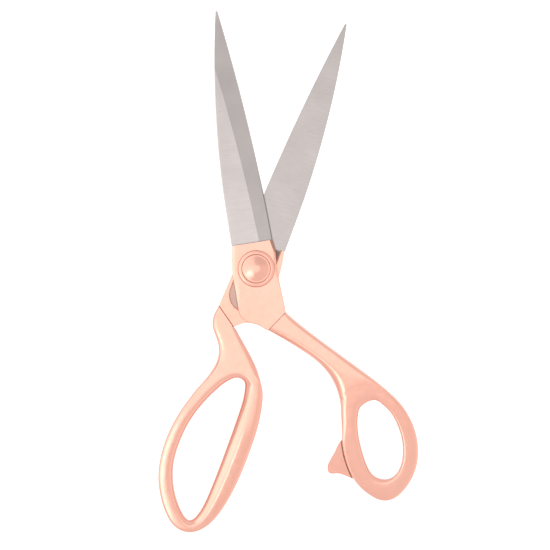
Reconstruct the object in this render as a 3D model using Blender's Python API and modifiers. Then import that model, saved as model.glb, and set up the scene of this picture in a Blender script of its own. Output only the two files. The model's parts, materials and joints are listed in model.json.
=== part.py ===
"""Bent-handle cutting shears, 24 cm long when closed, lying flat and held open by about 29 degrees.

The origin is on the pivot axis at the height of the table, with +Z up and +Y towards the tips.
Lengths below are in millimetres and are turned into metres where a mesh is made. Each half is drawn
in its own frame, with the pivot at the origin, the blade along +Y and z = 0 where the two halves
meet. The upper half lies above z = 0, and its handle runs down to the table as well.
"""

import math

import bmesh
import bpy
from mathutils import Matrix, Vector
from mathutils.geometry import convex_hull_2d

MM = 0.001
GAP = 0.3

# How far each half is turned from +Y at rest, in degrees. Together they are the angle to close.
UPPER_TURN = 8.8
LOWER_TURN = -20.1

# Heights from the plane where the halves meet.
HANDLE_HALF = 5.5
BOLSTER_TOP = 4.6
INNER_FACE = GAP / 2
TANG_TOP = INNER_FACE + 2.0
SPOT_FACE_FLOOR = 4.2

# Blade, as seen on the upper half: the cutting edge is at +X and the spine at -X.
TIP_Y = 117.3
JOINT_Y = 11.7
SPINE_X = 9.4
SPINE_CURVE_LENGTH = 90.0
EDGE_SLOPE = 0.1431
EDGE_CURVE = 0.00054
BLADE_BASE_THICKNESS = 3.6
BLADE_EVEN_TAPER = 0.6
BLADE_CURVED_TAPER = 1.4
EDGE_THICKNESS = 0.4
TIP_RADIUS = 0.45

# Tang, the part of the blade that is let into the casting.
TANG_HALF_WIDTH = 7.7
TANG_END_CENTRE_Y = -12.5
TANG_PIN_RADIUS = 1.5
TANG_PIN_TOP = 3.3
TANG_PIN_Y = {"front": 8.2, "rear": -13.5}

# Pivot.
SHOULDER_RADIUS = 3.3
NECK_ACROSS = 7.0
BUSH_RADIUS = 4.7
THREAD_RADIUS = 2.6
HEAD_RADIUS = 6.4
CUP_RADIUS = 8.2
SPOT_FACE_RADIUS = 8.6
COUNTERBORE_RADIUS = 6.9
WASHER_RADIUS = 6.2
NUT_RADIUS = 6.0

# Closing stop: how thick it is, and the tongue that holds it in the thumb loop.
STOP_LOW = -3.9
STOP_HIGH = -0.7
TONGUE_LOW = -3.2
TONGUE_HIGH = -1.4
TONGUE_LENGTH = 3.2
TONGUE_WIDTH = 9.0
STOP_PIN_RADIUS = 1.0

# Outline of the bolster on the upper half, from the blade joint down its spine side, along the lower
# corner to the seam, inside the handle, and back up the cutting side.
BOLSTER = [
    (-9.2, JOINT_Y), (-10.1, 7.1), (-10.5, 3.5), (-10.9, -0.4), (-10.7, -5.1), (-10.6, -10.9),
    (-10.7, -17.0), (-10.2, -20.0), (-9.0, -21.7), (-7.6, -23.0), (-4.2, -24.5), (-2.5, -25.4),
    (-0.4, -27.2), (1.2, -28.2), (6.5, -29.0), (9.5, -26.2), (10.1, -21.5), (9.8, -14.2),
    (9.4, -7.1), (9.1, -3.5), (9.3, 0.25), (9.7, 4.3), (9.8, 7.1), (9.1, JOINT_Y),
]

# Round the thumb loop: each pair is a point on the outer edge and the one facing it on the hole. The
# shank grows from the last three intervals, between the pair before the last two and the first.
THUMB_LOOP = [
    ((51.5, -65.2), (46.5, -68.6)), ((56.6, -73.2), (50.6, -74.3)), ((59.3, -82.0), (52.8, -82.5)),
    ((59.6, -90.5), (53.0, -89.5)), ((57.6, -98.8), (51.6, -95.8)), ((53.0, -106.0), (48.7, -100.6)),
    ((46.4, -111.3), (45.0, -102.6)), ((39.8, -111.8), (41.0, -102.2)), ((33.8, -107.4), (37.4, -99.6)),
    ((29.2, -101.2), (35.5, -94.8)), ((26.8, -93.0), (34.5, -89.0)), ((26.2, -84.0), (33.9, -82.5)),
    ((27.3, -75.0), (34.2, -75.8)), ((28.4, -65.5), (35.8, -69.8)), ((32.5, -58.8), (39.0, -67.1)),
    ((42.5, -58.0), (43.6, -66.3)),
]

# Across the thumb shank, from the loop to the seam: the left edge and the right edge.
THUMB_SHANK = [
    ((27.4, -57.2), (45.8, -58.4)), ((24.8, -50.8), (38.4, -51.0)), ((20.4, -44.6), (30.9, -43.6)),
    ((15.2, -39.8), (24.0, -36.7)), ((9.8, -35.1), (17.6, -30.1)), ((5.3, -31.4), (13.2, -25.3)),
    ((1.2, -28.2), (10.1, -21.5)),
]

FINGER_LOOP = [
    ((20.8, -49.2), (13.4, -51.2)), ((23.6, -57.0), (14.7, -57.5)), ((25.1, -66.5), (15.0, -66.5)),
    ((25.5, -78.0), (15.1, -77.5)), ((25.2, -89.5), (15.1, -88.5)), ((24.2, -99.5), (14.9, -98.5)),
    ((22.3, -108.5), (14.4, -107.8)), ((19.2, -116.0), (12.9, -114.2)), ((13.5, -121.4), (10.6, -116.8)),
    ((6.5, -121.9), (7.6, -115.7)), ((0.5, -118.1), (3.6, -111.9)), ((-5.0, -111.3), (-0.6, -106.2)),
    ((-9.2, -103.2), (-3.9, -99.0)), ((-11.4, -94.0), (-5.5, -91.5)), ((-11.8, -84.0), (-5.6, -83.0)),
    ((-10.6, -74.0), (-4.6, -74.4)), ((-7.9, -64.0), (-1.8, -65.0)), ((-4.4, -54.8), (2.8, -55.4)),
    ((1.8, -47.0), (7.6, -49.2)), ((13.0, -43.8), (11.6, -49.0)),
]
FINGER_SHANK = [
    ((-2.7, -49.0), (16.9, -43.5)), ((-2.2, -44.8), (12.9, -39.3)), ((-2.7, -40.6), (9.5, -36.3)),
    ((-5.1, -36.2), (6.1, -33.4)), ((-9.1, -32.4), (3.2, -31.0)), ((-11.1, -27.6), (1.0, -28.9)),
    ((-10.1, -21.5), (-0.9, -28.0)),
]

# The spur of the closing stop, from the upper end of its root to its tip and back to the root, which
# is let into the flank of the loop.
SPUR = [
    (26.6, -81.6), (24.0, -84.3), (22.3, -87.0), (20.2, -89.6), (18.3, -92.3), (17.9, -94.9),
    (19.0, -96.3), (22.4, -96.8), (25.1, -98.1), (27.8, -99.8),
]
STOP_ROOT = (Vector(SPUR[0]) + Vector(SPUR[-1])) / 2
STOP_ROOT_TURN = math.atan2(SPUR[-1][0] - SPUR[0][0], SPUR[0][1] - SPUR[-1][1])

# Across a limb of a loop, from its outer edge to the hole: the place as a share of the width, and the
# height as a share of the handle's. The finger loop has a longer slope down to its hole.
THUMB_LIMB = ((0.0, 0.55), (0.16, 1.0), (0.82, 1.0), (1.0, 0.52))
FINGER_LIMB = ((0.0, 0.55), (0.16, 1.0), (0.62, 1.0), (1.0, 0.42))

# The same heights across a shank and at its seam. DRAWN_IN is how far the sides lie outside the
# outline, because the subdivision draws them in.
RISE = (0.55, 0.97, 1.0, 1.0, 1.0, 0.97, 0.55)
SEAM_RISE = (0.80, 1.0, 1.0, 1.0, 1.0, 1.0, 0.80)
DRAWN_IN = 0.2

# The loops grow thinner towards their far ends, by this share of HANDLE_HALF for each millimetre.
THINNING = 0.0065
THUMB_THINNING_START_Y = -56.0
FINGER_THINNING_START_Y = -70.0


# ---------------------------------------------------------------- scene, materials and helpers


def clear_scene():
    for item in list(bpy.data.objects):
        bpy.data.objects.remove(item, do_unlink=True)


def collection(name):
    made = bpy.data.collections.new(name)
    bpy.context.scene.collection.children.link(made)
    return made


def material(name, colour, roughness, metallic=1.0):
    made = bpy.data.materials.new(name)
    made.use_nodes = True
    surface = made.node_tree.nodes["Principled BSDF"]
    surface.inputs["Base Color"].default_value = (*colour, 1.0)
    surface.inputs["Roughness"].default_value = roughness
    surface.inputs["Metallic"].default_value = metallic
    return made


def add_part(name, mesh, surface, parent):
    """Puts a mesh into the model, in the frame of the half that it belongs to."""
    made = bpy.data.objects.new(name, mesh)
    parts.objects.link(made)
    mesh.materials.clear()
    mesh.materials.append(surface)
    mesh.shade_smooth()
    mesh.set_sharp_from_angle(angle=math.radians(35))
    made.parent = parent
    return made


def add_cutter(name, mesh, parent):
    made = bpy.data.objects.new(name, mesh)
    cutters.objects.link(made)
    made.hide_render = True
    made.display_type = "WIRE"
    made.parent = parent
    return made


def boolean(target, other, operation="DIFFERENCE"):
    modifier = target.modifiers.new(f"{operation} {other.name}", "BOOLEAN")
    modifier.operation = operation
    modifier.object = other


def mesh_from(name, bm):
    mesh = bpy.data.meshes.new(name)
    bmesh.ops.recalc_face_normals(bm, faces=bm.faces)
    bm.to_mesh(mesh)
    bm.free()
    return mesh


def evaluated_mesh(name, item):
    """The mesh of an object with its modifiers applied; the object itself is removed."""
    bpy.context.view_layer.update()
    graph = bpy.context.evaluated_depsgraph_get()
    mesh = bpy.data.meshes.new_from_object(item.evaluated_get(graph))
    mesh.name = name
    bm = bmesh.new()
    bm.from_mesh(mesh)
    bmesh.ops.remove_doubles(bm, verts=bm.verts, dist=0.01 * MM)
    bmesh.ops.recalc_face_normals(bm, faces=bm.faces)
    bm.to_mesh(mesh)
    bm.free()
    bpy.data.objects.remove(item, do_unlink=True)
    return mesh


def plate(name, outline, low, high, chamfer=0.0):
    """A flat outline filled from low to high, with a chamfer round its upper rim."""
    curve = bpy.data.curves.new(name, "CURVE")
    curve.dimensions = "2D"
    curve.fill_mode = "BOTH"
    curve.extrude = (high - low) / 2 * MM
    spline = curve.splines.new("POLY")
    spline.points.add(len(outline) - 1)
    spline.use_cyclic_u = True
    for point, (x, y) in zip(spline.points, outline):
        point.co = (x * MM, y * MM, 0.0, 1.0)
    item = bpy.data.objects.new(name, curve)
    bpy.context.scene.collection.objects.link(item)
    mesh = evaluated_mesh(name, item)
    mesh.transform(Matrix.Translation((0, 0, (low + high) / 2 * MM)))
    if chamfer:
        bm = bmesh.new()
        bm.from_mesh(mesh)
        top = max(vertex.co.z for vertex in bm.verts) - 0.01 * MM
        rim = [
            edge for edge in bm.edges
            if all(vertex.co.z > top for vertex in edge.verts) and edge.calc_face_angle(0.0) > 1.0
        ]
        bmesh.ops.bevel(bm, geom=rim, offset=chamfer * MM, affect="EDGES", clamp_overlap=True)
        bm.to_mesh(mesh)
        bm.free()
    return mesh


def cylinder(name, radius, low, high, x=0.0, y=0.0, segments=32):
    bm = bmesh.new()
    place = Matrix.Translation((x * MM, y * MM, (low + high) / 2 * MM))
    bmesh.ops.create_cone(
        bm, cap_ends=True, segments=segments, radius1=radius * MM, radius2=radius * MM,
        depth=(high - low) * MM, matrix=place,
    )
    return mesh_from(name, bm)


def box(name, size, centre, turn=0.0):
    bm = bmesh.new()
    place = Matrix.Translation(Vector(centre) * MM) @ Matrix.Rotation(turn, 4, "Z")
    bmesh.ops.create_cube(bm, size=1.0, matrix=place @ Matrix.Diagonal((*(Vector(size) * MM), 1.0)))
    return mesh_from(name, bm)


def turned(name, profile, steps=40):
    """A profile of (radius, z) points spun round the pivot axis. It is a ring, unless it ends on the axis."""
    mesh = bpy.data.meshes.new(name)
    points = [(radius * MM, 0.0, z * MM) for radius, z in profile]
    ends = [(i, i + 1) for i in range(len(points) - 1)]
    if profile[0][0] > 0:
        ends.append((len(points) - 1, 0))
    mesh.from_pydata(points, ends, [])
    item = bpy.data.objects.new(name, mesh)
    bpy.context.scene.collection.objects.link(item)
    screw = item.modifiers.new("spin", "SCREW")
    screw.steps = steps
    screw.render_steps = steps
    screw.use_merge_vertices = True
    screw.merge_threshold = 0.01 * MM
    return evaluated_mesh(name, item)


def arc(centre, radius, first, last, count):
    """Points of an arc, with both ends, from one angle in degrees to another."""
    found = []
    for i in range(count + 1):
        angle = math.radians(first + (last - first) * i / count)
        found.append((centre[0] + radius * math.cos(angle), centre[1] + radius * math.sin(angle)))
    return found


def tang_outline(clearance, front_y):
    half = TANG_HALF_WIDTH + clearance
    return [(-half, front_y), *arc((0, TANG_END_CENTRE_Y), half, 180, 360, 14), (half, front_y)]


def turned_over(mesh):
    """The same shape turned half a turn about the blade, as the lower half has it."""
    copy = mesh.copy()
    copy.transform(Matrix.Rotation(math.pi, 4, "Y"))
    return copy


# ---------------------------------------------------------------- blades


def blade_section(y):
    """The five corners of the blade at y: spine and edge underneath, then edge, bevel and spine."""
    from_tip = TIP_Y - y
    along = (y - JOINT_Y) / (TIP_Y - JOINT_Y)
    thickness = BLADE_BASE_THICKNESS - BLADE_EVEN_TAPER * along - BLADE_CURVED_TAPER * along**2
    curved = max(0.0, 1.0 - from_tip / SPINE_CURVE_LENGTH)
    blunt = TIP_RADIUS * y / TIP_Y
    spine = -SPINE_X * (1.0 - curved**2) - blunt
    edge = EDGE_SLOPE * from_tip - EDGE_CURVE * from_tip**2 + blunt
    bevel = max(3.6 - 0.035 * y - 0.0006 * y * y, spine + 0.3)
    top = INNER_FACE + thickness
    return [
        (spine, y, INNER_FACE), (edge, y, INNER_FACE), (edge, y, INNER_FACE + EDGE_THICKNESS),
        (min(bevel, edge - 0.2), y, top), (spine, y, top),
    ]


def blade_mesh(name):
    stations = [JOINT_Y + GAP, 22, 34, 46, 58, 69, 79, 88, 96, 103, 109, 113.5, 116, TIP_Y]
    bm = bmesh.new()
    rings = []
    for y in stations:
        rings.append([bm.verts.new(Vector(corner) * MM) for corner in blade_section(y)])
    for first, second in zip(rings, rings[1:]):
        for i in range(5):
            j = (i + 1) % 5
            bm.faces.new((first[i], first[j], second[j], second[i]))
    bm.faces.new(rings[0])
    bm.faces.new(rings[-1])
    return mesh_from(name, bm)


def build_blade(name, half, over, bore):
    """A blade with its tang. bore is the cutter for its pivot hole."""
    def placed(mesh):
        return turned_over(mesh) if over else mesh

    blade = add_part(name, placed(blade_mesh(name)), STEEL, half)
    tang = plate(f"{name} tang", tang_outline(0.0, JOINT_Y + 0.4), INNER_FACE, TANG_TOP)
    boolean(blade, add_cutter(f"{name} tang", placed(tang), half), "UNION")
    boolean(blade, bore)
    for end, y in TANG_PIN_Y.items():
        hole = cylinder(f"{name} {end} pin hole", TANG_PIN_RADIUS + GAP, -1, 4, y=y, segments=16)
        boolean(blade, add_cutter(hole.name, placed(hole), half))
    return blade


# ---------------------------------------------------------------- cast handles


def widened(first, last):
    """The first of two facing points and the way to the other, both moved out by DRAWN_IN."""
    across = Vector(last) - Vector(first)
    margin = across.normalized() * DRAWN_IN
    return Vector(first) - margin, across + margin * 2


def handle_height(y, thinning_start):
    return HANDLE_HALF * (1.0 - THINNING * max(0.0, thinning_start - y))


def loop_section(outer, hole, limb, joined_rise, thinning_start):
    """Eight points round the limb of a loop, from the top of its outer edge over to the hole."""
    outer, across = widened(outer, hole)
    points = []
    for share, rise in limb:
        place = outer + across * share
        if share == 0.0 and joined_rise is not None:
            rise = joined_rise
        points.append(Vector((place.x, place.y, rise * handle_height(place.y, thinning_start))))
    return points + [Vector((p.x, p.y, -p.z)) for p in reversed(points)]


def interpolated(pairs, steps):
    """Points at equal steps along each interval of a closed chain of pairs, on a smooth curve."""
    found = []
    count = len(pairs)
    for i in range(count):
        near = [pairs[(i + k) % count] for k in (-1, 0, 1, 2)]
        for step in range(steps):
            t = step / steps
            weights = (
                -0.5 * t + t * t - 0.5 * t**3, 1 - 2.5 * t * t + 1.5 * t**3,
                0.5 * t + 2 * t * t - 1.5 * t**3, -0.5 * t * t + 0.5 * t**3,
            )
            found.append([
                sum((Vector(pair[side]) * w for pair, w in zip(near, weights)), Vector((0, 0)))
                for side in (0, 1)
            ])
    return found


def handle_cage(name, loop, limb, shank, thinning_start, steps=2):
    """A closed cage of quads: the loop, with the shank growing from three of its intervals."""
    columns = 3 * steps
    stations = interpolated(loop, steps)
    count = len(stations)
    start = count - columns
    bm = bmesh.new()
    ring = []
    for i, (outer, hole) in enumerate(stations):
        column = (i - start) % count
        joined = RISE[column] if column <= columns else None
        section = loop_section(outer, hole, limb, joined, thinning_start)
        ring.append([bm.verts.new(point * MM) for point in section])
    for i in range(count):
        first, second = ring[i], ring[(i + 1) % count]
        for j in range(8):
            if j == 7 and i >= start:
                continue
            k = (j + 1) % 8
            bm.faces.new((first[j], second[j], second[k], first[k]))
    joined_ring = [ring[(start + c) % count] for c in range(columns + 1)]
    top = [section[0] for section in joined_ring]
    bottom = [section[7] for section in joined_ring]
    for row, (left, right) in enumerate(shank):
        square = max(0.0, (row - len(shank) + 3) / 2)
        start_point, across = widened(left, right)
        new_top, new_bottom = [], []
        for c in range(columns + 1):
            place = start_point + across * (c / columns)
            rise = RISE[c] * (1 - square) + SEAM_RISE[c] * square
            height = handle_height(place.y, thinning_start) * rise
            new_top.append(bm.verts.new(Vector((place.x, place.y, height)) * MM))
            new_bottom.append(bm.verts.new(Vector((place.x, place.y, -height)) * MM))
        for c in range(columns):
            bm.faces.new((top[c], top[c + 1], new_top[c + 1], new_top[c]))
            bm.faces.new((bottom[c], new_bottom[c], new_bottom[c + 1], bottom[c + 1]))
        bm.faces.new((top[0], new_top[0], new_bottom[0], bottom[0]))
        bm.faces.new((top[-1], bottom[-1], new_bottom[-1], new_top[-1]))
        top, bottom = new_top, new_bottom
    crease = bm.edges.layers.float.new("crease_edge")
    for c in range(columns):
        end = bm.faces.new((top[c], bottom[c], bottom[c + 1], top[c + 1]))
        for edge in end.edges:
            edge[crease] = 1.0
    return mesh_from(name, bm)


def build_handle(name, half, cage, over, bore, seat):
    """A cast half: loop and shank, the bolster plate, and the pocket that the tang is let into."""
    def cutter(label, mesh):
        return add_cutter(f"{name} {label}", turned_over(mesh) if over else mesh, half)

    handle = add_part(name, cage, ROSE_GOLD, half)
    soft = handle.modifiers.new("soft", "SUBSURF")
    soft.levels = 1
    soft.render_levels = 1
    bolster = plate(f"{name} bolster", BOLSTER, INNER_FACE, BOLSTER_TOP, 0.6)
    boolean(handle, cutter("bolster", bolster), "UNION")
    pocket = plate(f"{name} pocket", tang_outline(GAP, JOINT_Y + 5), -1.0, TANG_TOP + GAP)
    boolean(handle, cutter("pocket", pocket))
    boolean(handle, bore)
    boolean(handle, seat)
    for end, y in TANG_PIN_Y.items():
        hole = cylinder(f"{end} hole", TANG_PIN_RADIUS + GAP, 0, TANG_PIN_TOP + GAP, y=y, segments=16)
        boolean(handle, cutter(f"{end} pin hole", hole))
    return handle


def build_tang_pins(side, half, over):
    for end, y in TANG_PIN_Y.items():
        name = f"{side}_tang_pin_{end}"
        mesh = cylinder(name, TANG_PIN_RADIUS, INNER_FACE + GAP, TANG_PIN_TOP, y=y, segments=16)
        add_part(name, turned_over(mesh) if over else mesh, STEEL, half)


# ---------------------------------------------------------------- closing stop


def spur_sweep(clearance, angles):
    """The outline that the spur needs while it closes, seen from the finger handle."""
    points = []
    for angle in angles:
        turn = Matrix.Rotation(math.radians(angle), 2)
        for corner in SPUR:
            points += [
                turn @ (Vector(corner) + Vector((math.cos(a), math.sin(a))) * clearance)
                for a in (math.radians(step) for step in range(0, 360, 45))
            ]
    return [points[i] for i in convex_hull_2d(points)]


def build_closing_stop(thumb_handle, finger_handle, upper, lower):
    stop = add_part("closing_stop", plate("closing_stop", SPUR, STOP_LOW, STOP_HIGH, 0.4), ROSE_GOLD, upper)
    inward = Matrix.Rotation(STOP_ROOT_TURN, 2) @ Vector((1, 0))
    tongue_at = STOP_ROOT + inward * (TONGUE_LENGTH / 2 - 1)
    middle = (TONGUE_LOW + TONGUE_HIGH) / 2
    height = TONGUE_HIGH - TONGUE_LOW
    tongue = box(
        "tongue", (TONGUE_LENGTH + 2, TONGUE_WIDTH, height), (*tongue_at, middle), STOP_ROOT_TURN
    )
    boolean(stop, add_cutter("closing_stop tongue", tongue, upper), "UNION")
    slot = box(
        "slot", (TONGUE_LENGTH + 2 + 2 * GAP, TONGUE_WIDTH + 2 * GAP, height + 2 * GAP),
        (*tongue_at, middle), STOP_ROOT_TURN,
    )
    boolean(thumb_handle, add_cutter("closing_stop slot", slot, upper))
    flank = plate("closing_stop flank", spur_sweep(GAP, (0,)), STOP_LOW - GAP, STOP_HIGH + GAP)
    boolean(thumb_handle, add_cutter("closing_stop flank", flank, upper))
    x, y = STOP_ROOT + inward * (TONGUE_LENGTH - 1.2)
    pin = cylinder("stop_pin", STOP_PIN_RADIUS, STOP_LOW + 0.3, TONGUE_HIGH + 1.2, x, y, 12)
    add_part("stop_pin", pin, STEEL, upper)
    hole = cylinder("stop_pin hole", STOP_PIN_RADIUS + GAP, -7, TONGUE_HIGH + 1.2 + GAP, x, y, 12)
    hole = add_cutter("stop_pin hole", hole, upper)
    boolean(thumb_handle, hole)
    boolean(stop, hole)
    relief = plate("stop seat", spur_sweep(0.6, (0, 2, 4, 6)), -HANDLE_HALF - 1, STOP_HIGH + 0.5)
    boolean(finger_handle, add_cutter("stop seat", relief, lower))


# ---------------------------------------------------------------- pivot


def build_pivot(upper):
    """Everything on the pivot axis that turns with the upper half, from the head down to the nut."""
    cup_low = SPOT_FACE_FLOOR + GAP
    head_low = cup_low + 0.5
    cup = [
        (CUP_RADIUS, cup_low + 0.5), (CUP_RADIUS, cup_low), (NECK_ACROSS * 0.71 + GAP, cup_low),
        (NECK_ACROSS * 0.71 + GAP, cup_low + 0.2), (HEAD_RADIUS + GAP, cup_low + 0.2),
        (HEAD_RADIUS + GAP, cup_low + 1.1), (HEAD_RADIUS + GAP + 0.2, cup_low + 1.2),
        (CUP_RADIUS - 0.5, cup_low + 1.15), (CUP_RADIUS - 0.1, cup_low + 0.9),
    ]
    add_part("cup_washer", turned("cup_washer", cup), ROSE_GOLD, upper)
    head = [
        (0.0, head_low + 1.5), (1.5, head_low + 1.46), (3.0, head_low + 1.34), (4.4, head_low + 1.14),
        (5.6, head_low + 0.92), (6.1, head_low + 0.8),
        (HEAD_RADIUS, head_low + 0.5), (HEAD_RADIUS, head_low), (0.0, head_low),
    ]
    screw = add_part("pivot_screw", turned("pivot_screw", head), ROSE_GOLD, upper)
    shapes = {
        "neck": box("neck", (NECK_ACROSS, NECK_ACROSS, head_low), (0, 0, head_low / 2 + 0.4)),
        "shoulder": cylinder("shoulder", SHOULDER_RADIUS, -TANG_TOP - 0.1, 1.0),
        "thread": cylinder("thread", THREAD_RADIUS, -HANDLE_HALF, 0.5, segments=24),
    }
    for label, mesh in shapes.items():
        boolean(screw, add_cutter(f"pivot_screw {label}", mesh, upper), "UNION")
    spring_top = -TANG_TOP - GAP
    washer_top = spring_top - 0.5 - GAP
    nut_top = washer_top - 0.5 - GAP
    nut_low = -HANDLE_HALF + GAP
    bore = SHOULDER_RADIUS + GAP
    spring = [
        (WASHER_RADIUS - 0.2, spring_top - 0.15), (WASHER_RADIUS - 0.2, spring_top - 0.5),
        (bore, spring_top - 0.35), (bore, spring_top),
    ]
    add_part("disc_spring", turned("disc_spring", spring), STEEL, upper)
    bore = THREAD_RADIUS + GAP
    washer = [
        (WASHER_RADIUS, washer_top), (WASHER_RADIUS, washer_top - 0.5), (bore, washer_top - 0.5),
        (bore, washer_top),
    ]
    add_part("flat_washer", turned("flat_washer", washer), STEEL, upper)
    nut = [
        (NUT_RADIUS, nut_top), (NUT_RADIUS, nut_low + 0.25), (NUT_RADIUS - 0.25, nut_low),
        (bore, nut_low), (bore, nut_top),
    ]
    nut = add_part("pivot_nut", turned("pivot_nut", nut), ROSE_GOLD, upper)
    for side in (-1, 1):
        slot = box(f"nut slot {side}", (2.4, 1.6, 1.4), (side * (NUT_RADIUS - 0.2), 0, nut_low))
        boolean(nut, add_cutter(slot.name, slot, upper))


def build_bush(lower):
    bore = SHOULDER_RADIUS + GAP
    low = -TANG_TOP + 0.1
    high = -INNER_FACE - 0.15
    profile = [(BUSH_RADIUS, high), (BUSH_RADIUS, low), (bore, low), (bore, high)]
    add_part("pivot_bush", turned("pivot_bush", profile, 32), BRASS, lower)


# ---------------------------------------------------------------- assembly


def half_axis(name, turn):
    empty = bpy.data.objects.new(name, None)
    parts.objects.link(empty)
    empty.location = (0, 0, HANDLE_HALF * MM)
    empty.rotation_euler = (0, 0, math.radians(turn))
    return empty


clear_scene()
parts = collection("bent_handle_shears")
cutters = collection("cutters")
STEEL = material("brushed blade steel", (0.62, 0.58, 0.57), 0.32)
ROSE_GOLD = material("polished rose gold", (0.95, 0.62, 0.50), 0.18)
BRASS = material("bearing brass", (0.72, 0.52, 0.25), 0.35)

upper_half = half_axis("upper_half_axis", UPPER_TURN)
lower_half = half_axis("lower_half_axis", LOWER_TURN)

neck_hole = NECK_ACROSS + 2 * GAP
square_bore = add_cutter("square bore", box("square bore", (neck_hole, neck_hole, 12), (0, 0, 3)), upper_half)
spot_face = add_cutter(
    "spot face", cylinder("spot face", SPOT_FACE_RADIUS, SPOT_FACE_FLOOR, 7, segments=48), upper_half
)
round_bore = add_cutter("round bore", cylinder("round bore", BUSH_RADIUS + GAP, -9, 3), lower_half)
counterbore = add_cutter(
    "counterbore", cylinder("counterbore", COUNTERBORE_RADIUS, -7, 1, segments=40), lower_half
)

build_blade("upper_blade", upper_half, False, square_bore)
build_blade("lower_blade", lower_half, True, round_bore)
cage = handle_cage("thumb cage", THUMB_LOOP, THUMB_LIMB, THUMB_SHANK, THUMB_THINNING_START_Y)
thumb_handle = build_handle("thumb_handle", upper_half, cage, False, square_bore, spot_face)
cage = handle_cage("finger cage", FINGER_LOOP, FINGER_LIMB, FINGER_SHANK, FINGER_THINNING_START_Y)
finger_handle = build_handle("finger_handle", lower_half, cage, True, round_bore, counterbore)
build_tang_pins("upper", upper_half, False)
build_tang_pins("lower", lower_half, True)
build_closing_stop(thumb_handle, finger_handle, upper_half, lower_half)
build_pivot(upper_half)
build_bush(lower_half)
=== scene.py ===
"""Looks for the bent-handle cutting shears: fine meshes, finishes, light, floor and camera.

Each half of the shears is drawn in its own frame, in millimetres: the pivot at the origin, the blade
along +Y, and z = 0 where the halves meet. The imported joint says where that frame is.
"""

import json
import math

import bmesh
import bpy
from mathutils import Matrix, Vector
from mathutils.geometry import convex_hull_2d

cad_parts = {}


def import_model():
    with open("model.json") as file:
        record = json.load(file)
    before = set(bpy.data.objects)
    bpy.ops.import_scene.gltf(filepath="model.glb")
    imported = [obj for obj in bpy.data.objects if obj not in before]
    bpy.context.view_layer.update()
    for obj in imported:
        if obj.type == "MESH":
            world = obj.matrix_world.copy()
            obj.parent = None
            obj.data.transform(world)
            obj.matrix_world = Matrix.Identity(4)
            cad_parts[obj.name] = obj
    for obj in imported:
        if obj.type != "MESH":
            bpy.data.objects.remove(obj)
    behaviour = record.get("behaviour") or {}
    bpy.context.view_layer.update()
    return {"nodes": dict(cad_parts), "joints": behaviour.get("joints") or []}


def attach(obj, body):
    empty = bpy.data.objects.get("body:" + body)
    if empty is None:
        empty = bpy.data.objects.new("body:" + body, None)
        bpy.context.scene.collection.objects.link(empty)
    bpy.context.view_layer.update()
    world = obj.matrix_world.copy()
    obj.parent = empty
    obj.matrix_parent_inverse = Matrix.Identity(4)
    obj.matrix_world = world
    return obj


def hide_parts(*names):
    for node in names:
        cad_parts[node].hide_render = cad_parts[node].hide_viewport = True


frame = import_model()

MM = 0.001
FINE = 96

# GAP is between separate pieces, BUTT_GAP between the root of a blade and the end of its casting.
GAP = 0.3
BUTT_GAP = 0.04

# -------- where the halves are

PIVOT_JOINT = next(joint for joint in frame["joints"] if joint["name"] == "blade_pivot")
PIVOT = Vector(PIVOT_JOINT["pos_m"])

# How far each half is turned from +Y at rest. They are in line at the joint's lower limit.
UPPER_TURN = math.radians(8.8)
LOWER_TURN = UPPER_TURN + math.radians(PIVOT_JOINT["range_deg"][0])
UPPER = Matrix.Translation(PIVOT) @ Matrix.Rotation(UPPER_TURN, 4, "Z")
LOWER = Matrix.Translation(PIVOT) @ Matrix.Rotation(LOWER_TURN, 4, "Z")

# Heights from the plane where the halves meet.
HANDLE_HALF = PIVOT.z / MM
BOLSTER_TOP = 4.6
INNER_FACE = GAP / 2
TANG_TOP = INNER_FACE + 2.0
SPOT_FACE_FLOOR = 4.2

# Cutters that start outside the castings start at this height.
OUTSIDE = 7.0

# -------- drawing of the blades

TIP_Y = 117.3
JOINT_Y = 11.7
SPINE_X = 9.4
SPINE_CURVE_LENGTH = 90.0
EDGE_SLOPE = 0.1431
EDGE_CURVE = 0.00054
BLADE_BASE_THICKNESS = 3.6
BLADE_EVEN_TAPER = 0.6
BLADE_CURVED_TAPER = 1.4
EDGE_LAND = 0.12
HONED_WIDTH = 0.4
HONED_SLOPE = 2.0
TIP_RADIUS = 0.45
SPINE_CHAMFER = 0.4
BEVEL_ROOT_X = 3.6
BEVEL_SLOPE = 0.035
BEVEL_CURVE = 0.0006

# Stations along a blade, closer together towards its tip, and points across its bevel and its flat.
BLADE_STATIONS = 90
CROWDING = 0.35
BEVEL_SHARES = (0.06, 0.4, 0.7, 1.0)
FLAT_SHARES = (0.04, 0.35, 0.7)

TANG_HALF_WIDTH = 7.7
TANG_END_CENTRE_Y = -12.5
TANG_PIN_RADIUS = 1.5
TANG_PIN_TOP = 3.3
TANG_PIN_YS = (8.2, -13.5)
TANG_INSET = 0.25
TANG_FRONT_Y = JOINT_Y + 0.4

# The pin holes in a tang are cut up to here, past its top.
TANG_HOLE_TOP = 4.0

# -------- drawing of the pivot

SHOULDER_RADIUS = 3.3
NECK_ACROSS = 7.0
BUSH_RADIUS = 4.7
THREAD_RADIUS = 2.6
HEAD_RADIUS = 6.4
CUP_RADIUS = 8.2
COUNTERBORE_RADIUS = 6.9
WASHER_RADIUS = 6.2
WASHER_THICKNESS = 0.5
SPRING_RADIUS = 6.0
SPRING_THICKNESS = 0.35
SPRING_HEIGHT = 0.5
NUT_RADIUS = 6.0
NUT_SLOT = (2.4, 1.6, 1.4)
THREAD_PITCH = 0.7
THREAD_DEPTH = 0.18

# The neck is square, so its corners are this far out.
NECK_CORNER = 0.71 * NECK_ACROSS

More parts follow.
